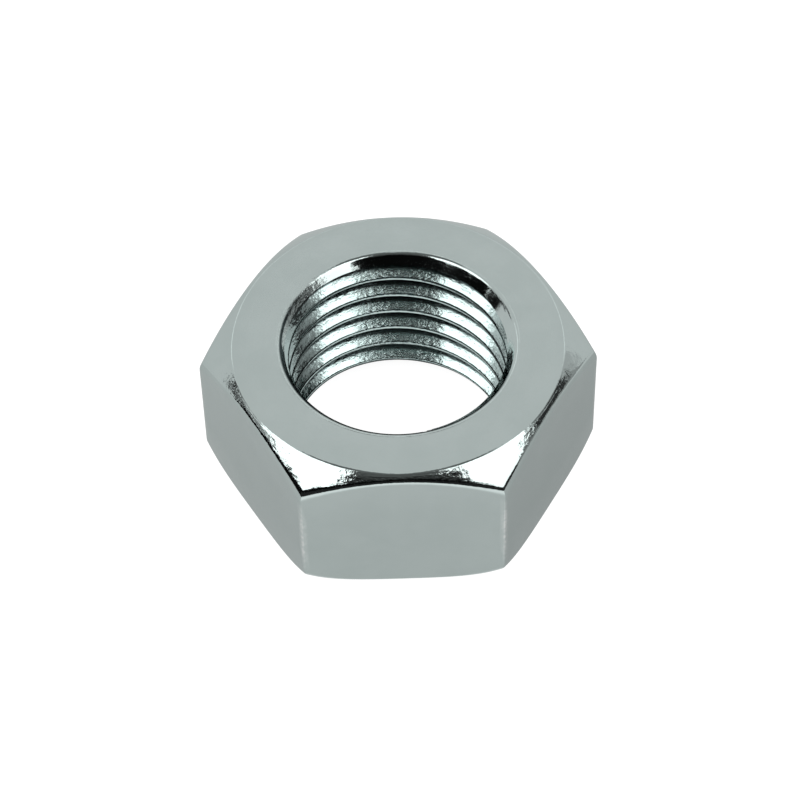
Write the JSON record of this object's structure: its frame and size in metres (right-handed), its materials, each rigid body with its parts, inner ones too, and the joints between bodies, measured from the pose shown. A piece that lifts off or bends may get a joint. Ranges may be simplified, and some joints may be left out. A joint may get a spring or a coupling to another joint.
{
  "type": "hexagon nut",
  "caption": "Plain hexagon nut, chamfered and countersunk at both ends, with a right-hand fine metric thread right through.",
  "frame": {"origin": "on the thread axis at the lower end face", "axes": "+Z along the thread axis, a flat faces -Y and two corners lie on the X axis"},
  "size_m": [0.0196, 0.017, 0.0084],
  "materials": {
    "zinc_plated_steel": "bright zinc plating"
  },
  "bodies": {
    "root": {"hex_nut": "zinc_plated_steel"}
  },
  "joints": []
}
